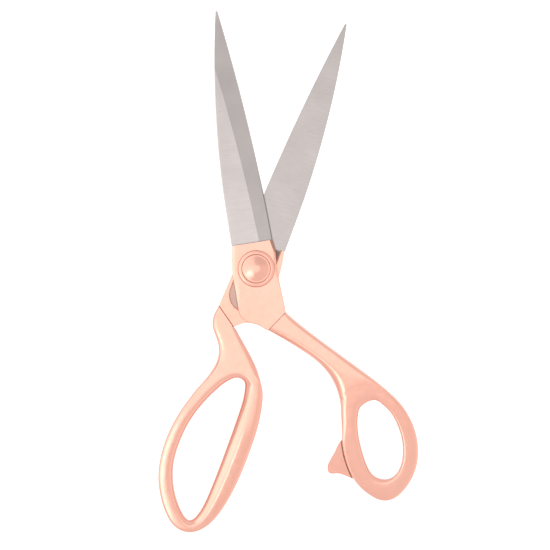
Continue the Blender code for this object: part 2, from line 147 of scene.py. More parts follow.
# The top of the screw's head, as (radius, height above the face under it): the crown, then the rim.
HEAD_CROWN = [(0.0, 1.5), (1.5, 1.46), (3.0, 1.34), (4.4, 1.14), (5.4, 0.96)]
HEAD_RIM = [(5.7, 0.93), (6.0, 0.92), (HEAD_RADIUS - 0.08, 0.78), (HEAD_RADIUS, 0.5)]

# Heights on the pivot axis, from the head down to the nut.
CUP_LOW = SPOT_FACE_FLOOR + GAP
HEAD_LOW = CUP_LOW + 0.5
SPRING_TOP = -TANG_TOP - GAP
WASHER_TOP = SPRING_TOP - SPRING_HEIGHT - GAP
NUT_TOP = WASHER_TOP - WASHER_THICKNESS - GAP
NUT_LOW = -HANDLE_HALF + GAP

# -------- drawing of the closing stop

STOP_LOW = -3.9
STOP_HIGH = -0.7
TONGUE_LOW = -3.2
TONGUE_HIGH = -1.4
TONGUE_LENGTH = 3.2
TONGUE_INSET = 2.0
TONGUE_WIDTH = 9.0
STOP_PIN_RADIUS = 1.0
STOP_PIN_FROM_END = 1.2
STOP_PIN_TOP = TONGUE_HIGH + 1.2
SPUR_SLOPE = 0.036
SPUR_BEVEL = 0.25

# The spur, from the upper end of its root to its tip and back to the root, and the point where its
# lower edge meets the loop's.
SPUR = [
    (26.6, -81.6), (24.0, -84.3), (22.3, -87.0), (20.2, -89.6), (18.3, -92.3), (17.9, -94.9),
    (19.0, -96.3), (22.4, -96.8), (25.1, -98.1), (27.8, -99.8),
]
SPUR_CORNER = (28.9, -100.5)

# The relief in the finger loop that the spur closes into: how far the halves turn in it, in degrees.
SEAT_CLEARANCE = 0.6
SEAT_ANGLES = (0, 2, 4, 6)

# The groove round the spur's root follows the thumb loop's outer edge between these places in
# THUMB_LOOP, and reaches this far in and out from it.
ROOT_GROOVE_FROM = 8.5
ROOT_GROOVE_TO = 12.0
ROOT_GROOVE_STEPS = 6
ROOT_GROOVE_IN = 0.5
ROOT_GROOVE_OUT = 0.58
ROOT_GROOVE_LOW = -3.0

# -------- drawing of the castings

BOLSTER = [
    (-9.2, JOINT_Y), (-10.1, 7.1), (-10.5, 3.5), (-10.9, -0.4), (-10.7, -5.1), (-10.6, -10.9),
    (-10.7, -17.0), (-10.2, -20.0), (-9.0, -21.7), (-7.6, -23.0), (-4.2, -24.5), (-2.5, -25.4),
    (-0.4, -27.2), (1.2, -28.2), (6.5, -29.0), (9.5, -26.2), (10.1, -21.5), (9.8, -14.2),
    (9.4, -7.1), (9.1, -3.5), (9.3, 0.25), (9.7, 4.3), (9.8, 7.1), (9.1, JOINT_Y),
]

# Pairs of facing points round each loop: the outer edge and the hole. The shank grows from the last
# three intervals.
THUMB_LOOP = [
    ((51.5, -65.2), (46.5, -68.6)), ((56.6, -73.2), (50.6, -74.3)), ((59.3, -82.0), (52.8, -82.5)),
    ((59.6, -90.5), (53.0, -89.5)), ((57.6, -98.8), (51.6, -95.8)), ((53.0, -106.0), (48.7, -100.6)),
    ((46.4, -111.3), (45.0, -102.6)), ((39.8, -111.8), (41.0, -102.2)), ((33.8, -107.4), (37.4, -99.6)),
    ((29.2, -101.2), (35.5, -94.8)), ((26.8, -93.0), (34.5, -89.0)), ((26.2, -84.0), (33.9, -82.5)),
    ((27.3, -75.0), (34.2, -75.8)), ((28.4, -65.5), (35.8, -69.8)), ((32.5, -58.8), (39.0, -67.1)),
    ((42.5, -58.0), (43.6, -66.3)),
]
THUMB_SHANK = [
    ((27.4, -57.2), (45.8, -58.4)), ((24.8, -50.8), (38.4, -51.0)), ((20.4, -44.6), (30.9, -43.6)),
    ((15.2, -39.8), (24.0, -36.7)), ((9.8, -35.1), (17.6, -30.1)), ((5.3, -31.4), (13.2, -25.3)),
    ((1.2, -28.2), (10.1, -21.5)),
]
FINGER_LOOP = [
    ((20.8, -49.2), (13.4, -51.2)), ((23.6, -57.0), (14.7, -57.5)), ((25.1, -66.5), (15.0, -66.5)),
    ((25.5, -78.0), (15.1, -77.5)), ((25.2, -89.5), (15.1, -88.5)), ((24.2, -99.5), (14.9, -98.5)),
    ((22.3, -108.5), (14.4, -107.8)), ((19.2, -116.0), (12.9, -114.2)), ((13.5, -121.4), (10.6, -116.8)),
    ((6.5, -121.9), (7.6, -115.7)), ((0.5, -118.1), (3.6, -111.9)), ((-5.0, -111.3), (-0.6, -106.2)),
    ((-9.2, -103.2), (-3.9, -99.0)), ((-11.4, -94.0), (-5.5, -91.5)), ((-11.8, -84.0), (-5.6, -83.0)),
    ((-10.6, -74.0), (-4.6, -74.4)), ((-7.9, -64.0), (-1.8, -65.0)), ((-4.4, -54.8), (2.8, -55.4)),
    ((1.8, -47.0), (7.6, -49.2)), ((13.0, -43.8), (11.6, -49.0)),
]
FINGER_SHANK = [
    ((-2.7, -49.0), (16.9, -43.5)), ((-2.2, -44.8), (12.9, -39.3)), ((-2.7, -40.6), (9.5, -36.3)),
    ((-5.1, -36.2), (6.1, -33.4)), ((-9.1, -32.4), (3.2, -31.0)), ((-11.1, -27.6), (1.0, -28.9)),
    ((-10.1, -21.5), (-0.9, -28.0)),
]

# Across a limb from its outer edge to the hole: share of the width, and share of the height. The
# first list is for a limb whose outer edge faces left at rest, the second for one that faces right.
THUMB_LIMBS = (
    (
        (0.0, 0.50), (0.03, 0.84), (0.07, 0.92), (0.18, 0.99),
        (0.50, 1.0), (0.85, 1.0), (0.96, 0.90), (1.0, 0.5),
    ),
    (
        (0.0, 0.50), (0.04, 0.88), (0.12, 0.985), (0.45, 1.0),
        (0.84, 1.0), (0.95, 0.98), (0.99, 0.85), (1.0, 0.5),
    ),
)
FINGER_LIMBS = (
    (
        (0.0, 0.50), (0.04, 0.88), (0.10, 0.965), (0.24, 0.988),
        (0.56, 1.0), (0.74, 0.985), (0.93, 0.91), (1.0, 0.5),
    ),
    (
        (0.0, 0.50), (0.035, 0.88), (0.10, 0.98), (0.50, 1.0),
        (0.60, 0.985), (0.70, 0.93), (0.96, 0.71), (1.0, 0.42),
    ),
)

# Beside the closing stop the thumb loop's outer edge is squarer by this share, over this much of the
# limb's width. It becomes so between the first two places on Y, and ends between the others.
SQUARER_SHARE = 0.9
SQUARER_ACROSS = 0.3
SQUARER_FROM_Y = (-76.0, -81.0)
SQUARER_TO_Y = (-100.0, -106.0)
SQUARER_TO_X = (30.0, 34.0)

# Where the shank's columns leave the loop, in intervals along the part that it grows from.
# That part is three intervals long. The shank's heights fade out between two shares of the limb.
JOINED_AT = (0.0, 0.12, 0.45, 1.0, 1.5, 2.0, 2.55, 2.88)
JOINED_INTERVALS = 3
JOINED_FADE = (0.6, 0.9)

# Across a shank from its left edge to its right one, in the same shares. Then the heights where it
# leaves the loop and at the seam where it meets the bolster.
THUMB_ACROSS = (
    (0.0, 0.5), (0.06, 0.80), (0.13, 0.955), (0.22, 1.0), (0.5, 1.0),
    (0.75, 1.0), (0.91, 0.995), (0.97, 0.93), (1.0, 0.5),
)
FINGER_ACROSS = (
    (0.0, 0.5), (0.03, 0.90), (0.08, 0.96), (0.19, 0.988), (0.4, 1.0),
    (0.7, 1.0), (0.91, 0.995), (0.97, 0.93), (1.0, 0.5),
)
JOINED_RISE = (0.5, 0.89, 0.985, 1.0, 1.0, 1.0, 1.0, 0.97, 0.5)
SEAM_RISE = (0.8, 0.95, 1.0, 1.0, 1.0, 1.0, 1.0, 0.95, 0.8)

# The sides lie outside the outline by DRAWN_IN, because subdivision draws them in. BOWED is how far
# a shank's first row curves out, to stay clear of the loop's outer edge.
DRAWN_IN = 0.12
BOWED = 2.4
SEAM_GROOVE = 0.26

# The slope round the top of a bolster, left and right: width and drop at the shank, width and drop at
# the blade, how strongly it curves, and where on Y it grows.
LEFT_RIM = ((0.3, 0.2), (2.2, 0.62), 1.6, (-18.0, -6.0))
RIGHT_RIM = ((0.3, 0.2), (1.2, 2.4), 1.1, (-12.0, 4.0))
RIM_SHARES = (0.12, 0.3, 0.5, 0.7, 0.88, 1.0)

# The loops grow thinner towards their far ends, by this share of the height for each millimetre.
THINNING = 0.0065
THUMB_THINNING_START_Y = -56.0
FINGER_THINNING_START_Y = -70.0


# -------- mesh helpers


def mesh_from(name, bm):
    mesh = bpy.data.meshes.new(name)
    bmesh.ops.recalc_face_normals(bm, faces=bm.faces)
    bm.to_mesh(mesh)
    bm.free()
    return mesh


def temporary(mesh):
    item = bpy.data.objects.new(mesh.name, mesh)
    bpy.context.scene.collection.objects.link(item)
    return item


def evaluated(item, extra=()):
    """The mesh of an object with its modifiers applied. The object and its helpers are removed."""
    bpy.context.view_layer.update()
    graph = bpy.context.evaluated_depsgraph_get()
    mesh = bpy.data.meshes.new_from_object(item.evaluated_get(graph))
    bm = bmesh.new()
    bm.from_mesh(mesh)
    bmesh.ops.remove_doubles(bm, verts=bm.verts, dist=0.002 * MM)
    bmesh.ops.recalc_face_normals(bm, faces=bm.faces)
    bm.to_mesh(mesh)
    bm.free()
    for helper in (item, *extra):
        bpy.data.objects.remove(helper, do_unlink=True)
    return mesh


def carved(mesh, *steps):
    """A mesh after Booleans. Each step is an operation and the other mesh."""
    item = temporary(mesh)
    helpers = []
    for operation, other in steps:
        helpers.append(temporary(other))
        modifier = item.modifiers.new(operation, "BOOLEAN")
        modifier.operation = operation
        modifier.object = helpers[-1]
    return evaluated(item, helpers)


def merged(*meshes):
    return carved(meshes[0], *(("UNION", mesh) for mesh in meshes[1:]))


def subdivided(mesh, levels):
    item = temporary(mesh)
    soft = item.modifiers.new("soft", "SUBSURF")
    soft.levels = levels
    soft.render_levels = levels
    return evaluated(item)


def bevelled(mesh, width):
    item = temporary(mesh)
    bevel = item.modifiers.new("bevel", "BEVEL")
    bevel.width = width * MM
    bevel.segments = 3
    bevel.angle_limit = math.radians(50)
    return evaluated(item)


def turned_over(mesh):
    mesh.transform(Matrix.Rotation(math.pi, 4, "Y"))
    return mesh


def on_chain(points, place, closed):
    """The point at a place, counted in intervals, on a smooth curve through the given points."""
    i = int(place)
    t = place - i
    near = []
    for k in (-1, 0, 1, 2):
        index = (i + k) % len(points) if closed else min(max(i + k, 0), len(points) - 1)
        near.append(Vector(points[index]))
    weights = (
        -0.5 * t + t * t - 0.5 * t**3, 1 - 2.5 * t * t + 1.5 * t**3,
        0.5 * t + 2 * t * t - 1.5 * t**3, -0.5 * t * t + 0.5 * t**3,
    )
    return sum((p * w for p, w in zip(near, weights)), near[0] * 0.0)


def smooth_chain(points, steps):
    """Points on a smooth curve through an open chain, with equal steps along each interval."""
    count = (len(points) - 1) * steps
    return [on_chain(points, i / steps, False) for i in range(count + 1)]


def inward_normals(outline):
    """Unit vectors that point into a closed outline given anticlockwise, one for each point."""
    found = []
    for i, point in enumerate(outline):
        before = (point - outline[i - 1]).normalized()
        after = (outline[(i + 1) % len(outline)] - point).normalized()
        along = (before + after).normalized()
        found.append(Vector((-along.y, along.x)))
    return found


def plate(name, outline, low, high, rim=None):
    """A flat plate. rim gives the width, drop and curve of the slope round its top at a point."""
    outline = [Vector(point) for point in outline]
    area = sum(a.cross(b) for a, b in zip(outline, outline[1:] + outline[:1]))
    if area < 0:
        outline.reverse()
    inward = inward_normals(outline)
    rims = [rim(point) if rim else (0.0, 0.0, 1.0) for point in outline]
    bm = bmesh.new()
    rings = [[bm.verts.new(Vector((point.x, point.y, low)) * MM) for point in outline]]
    for share in (0.0, *(RIM_SHARES if rim else ())):
        ring = []
        for point, normal, (width, drop, power) in zip(outline, inward, rims):
            place = point + normal * (width * share)
            z = high - drop * (1 - share) ** power
            ring.append(bm.verts.new(Vector((place.x, place.y, z)) * MM))
        rings.append(ring)
    count = len(outline)
    for lower, upper in zip(rings, rings[1:]):
        for i in range(count):
            j = (i + 1) % count
            bm.faces.new((lower[i], lower[j], upper[j], upper[i]))
    bm.faces.new(list(reversed(rings[0])))
    bm.faces.new(rings[-1])
    return mesh_from(name, bm)


def cylinder(name, radius, low, high, x=0.0, y=0.0, segments=48):
    bm = bmesh.new()
    place = Matrix.Translation((x * MM, y * MM, (low + high) / 2 * MM))
    bmesh.ops.create_cone(
        bm, cap_ends=True, segments=segments, radius1=radius * MM, radius2=radius * MM,
        depth=(high - low) * MM, matrix=place,
    )
    return mesh_from(name, bm)


def block(name, size, centre, turn=0.0):
    bm = bmesh.new()
    place = Matrix.Translation(Vector(centre) * MM) @ Matrix.Rotation(turn, 4, "Z")
    bmesh.ops.create_cube(bm, size=1.0, matrix=place @ Matrix.Diagonal((*(Vector(size) * MM), 1.0)))
    return mesh_from(name, bm)


def filleted(profile, radius, closed):
    """A profile with each corner replaced by a small curve."""
    found = []
    count = len(profile)
    for i, corner in enumerate(profile):
        corner = Vector(corner)
        if not closed and i in (0, count - 1):
            found.append(corner)
            continue
        before = Vector(profile[i - 1])
        after = Vector(profile[(i + 1) % count])
        cut = min(radius, (before - corner).length * 0.4, (after - corner).length * 0.4)
        first = corner + (before - corner).normalized() * cut
        last = corner + (after - corner).normalized() * cut
        for step in range(5):
            t = step / 4
            found.append(first * (1 - t) ** 2 + corner * 2 * t * (1 - t) + last * t * t)
    return found


def turned(name, profile, rounding, steps=FINE, x=0.0, y=0.0):
    """A profile of (radius, z) spun round a vertical axis: a ring, or a solid if it ends on the axis."""
    closed = profile[0][0] > 0
    points = filleted(profile, rounding, closed)
    bm = bmesh.new()
    rings = []
    for r, z in points:
        if r < 1e-6:
            rings.append([bm.verts.new(Vector((x, y, z)) * MM)] * steps)
            continue
        ring = []
        for k in range(steps):
            angle = 2 * math.pi * k / steps
            place = Vector((x + r * math.cos(angle), y + r * math.sin(angle), z))
            ring.append(bm.verts.new(place * MM))
        rings.append(ring)
    pairs = list(zip(rings, rings[1:]))
    if closed:
        pairs.append((rings[-1], rings[0]))
    for first, second in pairs:
        for k in range(steps):
            n = (k + 1) % steps
            corners = [first[k], first[n], second[n], second[k]]
            bm.faces.new(list(dict.fromkeys(corners)))
    return mesh_from(name, bm)


def arc(centre, radius, first, last, count):
    found = []
    for i in range(count + 1):
        angle = math.radians(first + (last - first) * i / count)
        found.append((centre[0] + radius * math.cos(angle), centre[1] + radius * math.sin(angle)))
    return found


def blended(value, low, high):
    """0 below low, 1 above high, and a smooth step between them."""
    t = min(1.0, max(0.0, (value - low) / (high - low)))
    return t * t * (3 - 2 * t)


# -------- finishes


class Tree:
    """Short names for building a node tree."""

    def __init__(self, tree):
        self.tree = tree

    def add(self, kind, **settings):
        node = self.tree.nodes.new(kind)
        for key, value in settings.items():
            if key in node.inputs:
                node.inputs[key].default_value = value
            else:
                setattr(node, key, value)
        return node

    def link(self, source, target):
        self.tree.links.new(source, target)

    def ranged(self, value, low, high, to_low, to_high):
        node = self.add("ShaderNodeMapRange")
        ends = {"From Min": low, "From Max": high, "To Min": to_low, "To Max": to_high}
        for key, number in ends.items():
            node.inputs[key].default_value = number
        self.link(value, node.inputs["Value"])
        return node.outputs["Result"]

    def maths(self, operation, first, second=0.0):
        node = self.add("ShaderNodeMath", operation=operation)
        for socket, value in zip(node.inputs, (first, second)):
            if isinstance(value, (int, float)):
                socket.default_value = value
            else:
                self.link(value, socket)
        return node.outputs["Value"]

    def curve(self, value, stops):
        """A smooth curve through stops of (place, height)."""
        ramp = self.add("ShaderNodeValToRGB")
        ramp.color_ramp.interpolation = "EASE"
        low, high = stops[0][0], stops[-1][0]
        while len(ramp.color_ramp.elements) < len(stops):
            ramp.color_ramp.elements.new(0.5)
        for element, (place, height) in zip(ramp.color_ramp.elements, stops):
            element.position = (place - low) / (high - low)
            element.color = (height, height, height, 1)
        self.link(self.ranged(value, low, high, 0.0, 1.0), ramp.inputs["Fac"])
        return ramp.outputs["Color"]


class Nodes(Tree):
    """One material's node tree."""

    def __init__(self, name):
        self.material = bpy.data.materials.new(name)
        self.material.use_nodes = True
        self.surface = self.material.node_tree.nodes["Principled BSDF"]
        super().__init__(self.material.node_tree)

    def place(self):
        """Where a point is in the drawing of its half, in millimetres."""
        return self.add("ShaderNodeAttribute", attribute_name="drawn").outputs["Vector"]

    def stretched(self, vector, scale, turn=0.0):
        mapping = self.add("ShaderNodeMapping", Scale=scale)
        mapping.inputs["Rotation"].default_value = (0, 0, turn)
        self.link(vector, mapping.inputs["Vector"])
        return mapping.outputs["Vector"]

    def noise(self, vector, scale, detail=2.0, roughness=0.5):
        node = self.add("ShaderNodeTexNoise", Scale=scale, Detail=detail, Roughness=roughness)
        self.link(vector, node.inputs["Vector"])
        return node.outputs["Fac"]

    def mixed(self, share, first, second):
        node = self.add("ShaderNodeMix", data_type="RGBA")
        for socket, value in ((node.inputs[0], share), (node.inputs[6], first), (node.inputs[7], second)):
            if isinstance(value, (tuple, float)):
                socket.default_value = value
            else:
                self.link(value, socket)
        return node.outputs[2]

    def bumped(self, layers):
        """Bump nodes in a row. Each layer is a height and its depth in millimetres."""
        normal = None
        for height, depth in layers:
            bump = self.add("ShaderNodeBump", Strength=1.0, Distance=depth * MM)
            self.link(height, bump.inputs["Height"])
            if normal is not None:
                self.link(normal, bump.inputs["Normal"])
            normal = bump.outputs["Normal"]
        self.link(normal, self.surface.inputs["Normal"])

    def crevice_shade(self, reach, low=0.35, high=0.85):
        """The amount of painted shade: 1 in a narrow gap or corner, and 0 in the open."""
        node = self.add("ShaderNodeAmbientOcclusion", samples=8, Distance=reach * MM)
        return self.ranged(node.outputs["AO"], low, high, 1.0, 0.0)

    def set(self, socket, value):
        if isinstance(value, (tuple, float)):
            self.surface.inputs[socket].default_value = value
        else:
            self.link(value, self.surface.inputs[socket])


ROSE_GOLD = (0.93, 0.485, 0.38)
DEEPER_GOLD = (0.93, 0.475, 0.368)
PALER_GOLD = (0.935, 0.497, 0.392)
SCRATCHED_GOLD = (0.86, 0.50, 0.41)
STEEL = (0.545, 0.493, 0.478)
# Painted light on the steel: reflected gold on the tang, shade by the blade's root, shade in gaps.
REFLECTED_GOLD = (0.545, 0.29, 0.21)
SHADE_BY_BOLSTER = (0.13, 0.07, 0.05)
STEEL_CREVICE_SHADE = (0.10, 0.07, 0.06)


def rose_gold(name, crevice_shade_colour, reach):
    """Polished plating over a casting: slight waviness, hairline scratches and wipe marks."""
    n = Nodes(name)
    place = n.place()
    tone = n.noise(place, 0.06, 3.0)
    marks = n.noise(place, 0.35, 4.0, 0.6)
    hair = n.noise(n.stretched(place, (0.25, 7.0, 7.0), 0.5), 1.0, 2.0)
    cross = n.noise(n.stretched(place, (5.0, 0.2, 5.0), -0.3), 1.0, 2.0)
    scratch = n.ranged(n.maths("MAXIMUM", hair, cross), 0.70, 0.82, 0.0, 1.0)
    tone = n.ranged(tone, 0.35, 0.65, 0.0, 1.0)
    colour = n.mixed(tone, (*DEEPER_GOLD, 1), (*PALER_GOLD, 1))
    colour = n.mixed(n.maths("MULTIPLY", scratch, 0.25), colour, (*SCRATCHED_GOLD, 1))
    # Painted shade: the colour darkens towards the crevice colour in narrow gaps and corners, and the
    # roughness rises there.
    crevice_shade = n.crevice_shade(reach, 0.25, 0.65)
    n.set("Base Color", n.mixed(crevice_shade, colour, (*crevice_shade_colour, 1)))
    n.set("Metallic", 1.0)
    rough = n.ranged(marks, 0.3, 0.7, 0.10, 0.18)
    rough = n.maths("ADD", rough, n.maths("MULTIPLY", scratch, 0.08))
    n.set("Roughness", n.maths("ADD", rough, n.maths("MULTIPLY", crevice_shade, 0.3)))
    peel = n.noise(place, 1.3, 1.0)
    n.bumped([(n.noise(place, 0.16, 2.0), 0.05), (peel, 0.0022), (scratch, -0.0007)])
    return n.material


def ground_steel(name, colour, roughness, bolster_shade):
    """Steel ground across the blade: close parallel lines, with a few deeper ones.

    The tang has a painted reflection of the gold castings, and painted shade next to the blade's root.
    """
    n = Nodes(name)
    place = n.place()
    lines = n.noise(n.stretched(place, (0.12, 6.0, 0.12)), 1.0, 3.0, 0.65)
    coarse = n.noise(n.stretched(place, (0.05, 1.5, 0.05)), 1.0, 1.0)
    cloud = n.noise(place, 0.05, 3.0)
    dark = tuple(c * 0.94 for c in colour)
    light = tuple(min(1.0, c * 1.05) for c in colour)
    tone = n.mixed(n.ranged(cloud, 0.35, 0.65, 0.0, 1.0), (*dark, 1), (*light, 1))
    tone = n.mixed(n.ranged(lines, 0.35, 0.75, 0.0, 0.35), tone, (*(c * 0.85 for c in colour), 1))
    separate = n.add("ShaderNodeSeparateXYZ")
    n.link(place, separate.inputs[0])
    along = separate.outputs["Y"]
    # Painted reflection: towards the pivot the tang takes on the gold of the castings.
    tone = n.mixed(n.ranged(along, 3.0, 9.0, 0.6, 0.0), tone, (*REFLECTED_GOLD, 1))
    # Painted shade on the tang next to the blade's root, where the front bolster shades it.
    bolster_shade_start = n.ranged(along, 2.0, 5.0, 0.0, bolster_shade)
    bolster_shade_end = n.ranged(along, 10.6, 11.6, 1.0, 0.0)
    tone = n.mixed(n.maths("MULTIPLY", bolster_shade_start, bolster_shade_end), tone, (*SHADE_BY_BOLSTER, 1))
    # Painted shade: darker in narrow gaps and corners.
    n.set("Base Color", n.mixed(n.crevice_shade(1.0), tone, (*STEEL_CREVICE_SHADE, 1)))
    n.set("Metallic", 1.0)
    n.set("Roughness", n.ranged(lines, 0.3, 0.7, roughness - 0.03, roughness + 0.06))
    n.bumped([(coarse, 0.0003), (lines, 0.0009)])
    return n.material


def turned_metal(name, colour, roughness, depth=0.001):
    """Metal turned on a lathe: fine rings about the pivot axis."""
    n = Nodes(name)
    place = n.place()
    flat = n.stretched(place, (1.0, 1.0, 0.0))
    length = n.add("ShaderNodeVectorMath", operation="LENGTH")
    n.link(flat, length.inputs[0])
    radius = n.add("ShaderNodeCombineXYZ")
    n.link(length.outputs["Value"], radius.inputs["X"])
    rings = n.noise(radius.outputs["Vector"], 7.0, 3.0, 0.7)
    marks = n.noise(place, 0.6, 3.0)
    darker = (*(c * 0.88 for c in colour), 1)
    n.set("Base Color", n.mixed(n.ranged(rings, 0.4, 0.7, 0.0, 0.4), (*colour, 1), darker))
    n.set("Metallic", 1.0)
    n.set("Roughness", n.ranged(marks, 0.3, 0.7, roughness - 0.03, roughness + 0.06))
    n.bumped([(rings, depth)])
    return n.material


# Crevice colours and reaches set painted shade; the stop's long reach paints a soft shadow by the loop.
CASTING_FINISH = rose_gold("polished_rose_gold", (0.17, 0.075, 0.05), 0.8)
STOP_FINISH = rose_gold("stop_rose_gold", (0.26, 0.12, 0.08), 1.8)
CUP_FINISH = rose_gold("soft_rose_gold", (0.70, 0.42, 0.31), 0.5)
HEAD_FINISH = turned_metal("turned_rose_gold", ROSE_GOLD, 0.12, 0.0016)
# Only the back blade's tang shows, so only it gets the painted shade next to the blade's root.
UPPER_STEEL = ground_steel("ground_steel_front", STEEL, 0.17, 0.0)
LOWER_STEEL = ground_steel("ground_steel_back", tuple(c * 0.9 for c in STEEL), 0.18, 0.85)
FIXING_STEEL = turned_metal("turned_steel", (0.46, 0.44, 0.43), 0.24)
BRASS = turned_metal("turned_brass", (0.72, 0.50, 0.22), 0.26)


# Edges are sharp where faces meet at more than this many degrees.
SHARP = 30.0
BLADE_SHARP = 12.0
CASTING_SHARP = 28.0


def piece(name, mesh, place, finish, body, slot, *nodes, sharp=SHARP):
    """Puts a finished mesh into the model in place of its CAD nodes."""
    count = len(mesh.vertices)
    coordinates = [0.0] * (3 * count)
    mesh.vertices.foreach_get("co", coordinates)
    drawn = mesh.attributes.new("drawn", "FLOAT_VECTOR", "POINT")
    drawn.data.foreach_set("vector", [c / MM for c in coordinates])
    mesh.transform(place)
    mesh.materials.clear()
    mesh.materials.append(finish)
    mesh.polygons.foreach_set("material_index", [0] * len(mesh.polygons))
    mesh.shade_smooth()
    mesh.set_sharp_from_angle(angle=math.radians(sharp))
    item = bpy.data.objects.new(name, mesh)
    bpy.context.scene.collection.objects.link(item)
    weighted = item.modifiers.new("weighted", "WEIGHTED_NORMAL")
    weighted.keep_sharp = True
    weighted.weight = 80
    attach(item, body)
    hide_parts(*nodes)


# -------- blades


def blade_section(y):
    """Points round the blade at y, from the spine along the inner face to the edge and back over."""
    from_tip = TIP_Y - y
    along = (y - JOINT_Y) / (TIP_Y - JOINT_Y)
    thickness = BLADE_BASE_THICKNESS - BLADE_EVEN_TAPER * along - BLADE_CURVED_TAPER * along**2
    curved = max(0.0, 1.0 - from_tip / SPINE_CURVE_LENGTH)
    blunt = TIP_RADIUS * y / TIP_Y
    spine = -SPINE_X * (1.0 - curved**2) - blunt
    edge = EDGE_SLOPE * from_tip - EDGE_CURVE * from_tip**2 + blunt
    bevel = max(BEVEL_ROOT_X - BEVEL_SLOPE * y - BEVEL_CURVE * y * y, spine + 0.3)
    bevel = min(bevel, edge - 0.2)
    top = INNER_FACE + thickness
    chamfer = min(SPINE_CHAMFER, (bevel - spine) * 0.3)
    honed_width = min(HONED_WIDTH, (edge - bevel) * 0.25)
    honed = edge - honed_width
    lip = INNER_FACE + EDGE_LAND + honed_width * HONED_SLOPE
    points = [(spine, INNER_FACE), (edge, INNER_FACE), (edge, INNER_FACE + EDGE_LAND), (honed, lip)]
    for share in BEVEL_SHARES:
        points.append((honed + (bevel - honed) * share, lip + (top - lip) * share))
    flat_end = spine + chamfer
    for share in FLAT_SHARES:
        points.append((bevel + (flat_end - bevel) * share, top))
    points += [(flat_end, top), (spine + chamfer * 0.3, top - chamfer * 0.25), (spine, top - chamfer)]
    return [(x, y, z) for x, z in points]


def blade_mesh(name):
    bm = bmesh.new()
    rings = []
    start = JOINT_Y + BUTT_GAP
    for i in range(BLADE_STATIONS + 1):
        share = i / BLADE_STATIONS
        share = share + CROWDING * share * (1 - share)
        y = start + (TIP_Y - start) * share
        rings.append([bm.verts.new(Vector(corner) * MM) for corner in blade_section(y)])
    count = len(rings[0])
    for first, second in zip(rings, rings[1:]):
        for i in range(count):
            j = (i + 1) % count
            bm.faces.new((first[i], first[j], second[j], second[i]))
    bm.faces.new(rings[0])
    bm.faces.new(rings[-1])
    return mesh_from(name, bm)


def tang_outline(clearance, front_y):
    half = TANG_HALF_WIDTH + clearance
    return [(-half, front_y), *arc((0, TANG_END_CENTRE_Y), half, 180, 360, 48), (half, front_y)]


def pin_holes(top):
    """The blind holes for the tang pins."""
    return [cylinder(f"pin hole {y}", TANG_PIN_RADIUS + GAP, -1, top, y=y) for y in TANG_PIN_YS]


def blade(name, place, finish, body, node, over, bore):
    """A blade with its tang, bored for the pivot. The lower one is the same, turned over."""
    tang = plate("tang", tang_outline(-TANG_INSET, TANG_FRONT_Y), INNER_FACE, TANG_TOP)
    mesh = merged(blade_mesh(name), tang)
    holes = [("DIFFERENCE", hole) for hole in (bore, *pin_holes(TANG_HOLE_TOP))]
    mesh = carved(mesh, *holes)
    if over:
        turned_over(mesh)
    piece(name, mesh, place, finish, body, "blade_steel", node, sharp=BLADE_SHARP)


# -------- castings


def handle_height(y, thinning_start):
    return HANDLE_HALF * (1.0 - THINNING * max(0.0, thinning_start - y))


def widened(first, last):
    """The start and the span between two facing points, both moved out by DRAWN_IN."""
    across = Vector(last) - Vector(first)
    margin = across.normalized() * DRAWN_IN
    return Vector(first) - margin, across + margin * 2


def squarer_beside_stop(outer):
    along = blended(outer.y, *SQUARER_FROM_Y) * (1 - blended(outer.y, *SQUARER_TO_Y))
    return SQUARER_SHARE * along * (1 - blended(outer.x, *SQUARER_TO_X))


def even_edge(outer):
    return 0.0


def limb_section(outer, hole, limbs, turn, joined_rise, squarer, thinning_start):
    """Points round a limb, from the top of its outer edge over to the hole, then back underneath."""
    outer, across = widened(outer, hole)
    outward = Matrix.Rotation(turn, 2) @ (-across.normalized())
    rightward = blended(outward.x, -0.5, 0.5)
    points = []
    for (share_a, rise_a), (share_b, rise_b) in zip(*limbs):
        share = share_a + (share_b - share_a) * rightward
        rise = rise_a + (rise_b - rise_a) * rightward
        place = outer + across * share
        if joined_rise is not None:
            faded = joined_rise * (1 - blended(share, *JOINED_FADE))
            rise = joined_rise if share == 0.0 else max(rise, faded)
        if 0.0 < share < SQUARER_ACROSS:
            rise += (1 - rise) * squarer
        points.append(Vector((place.x, place.y, rise * handle_height(place.y, thinning_start))))
    return points + [Vector((p.x, p.y, -p.z)) for p in reversed(points)]


def loop_sections(bm, loop, limbs, turn, thinning_start, squareness):
    """The loop's sections, as vertices. The shank grows from the last ones and the first."""
    columns = len(JOINED_AT)
    free = len(loop) - JOINED_INTERVALS
    places = [i / 2 for i in range(2 * free)] + [free + place for place in JOINED_AT]
    outer_side = [on_chain([pair[0] for pair in loop], place, True) for place in places]
    hole_side = [on_chain([pair[1] for pair in loop], place, True) for place in places]
    sections = []
    for i, (outer, hole) in enumerate(zip(outer_side, hole_side)):
        column = (i + columns) % len(places)
        joined = JOINED_RISE[column] if column <= columns else None
        section = limb_section(outer, hole, limbs, turn, joined, squareness(outer), thinning_start)
        sections.append([bm.verts.new(point * MM) for point in section])
    return sections


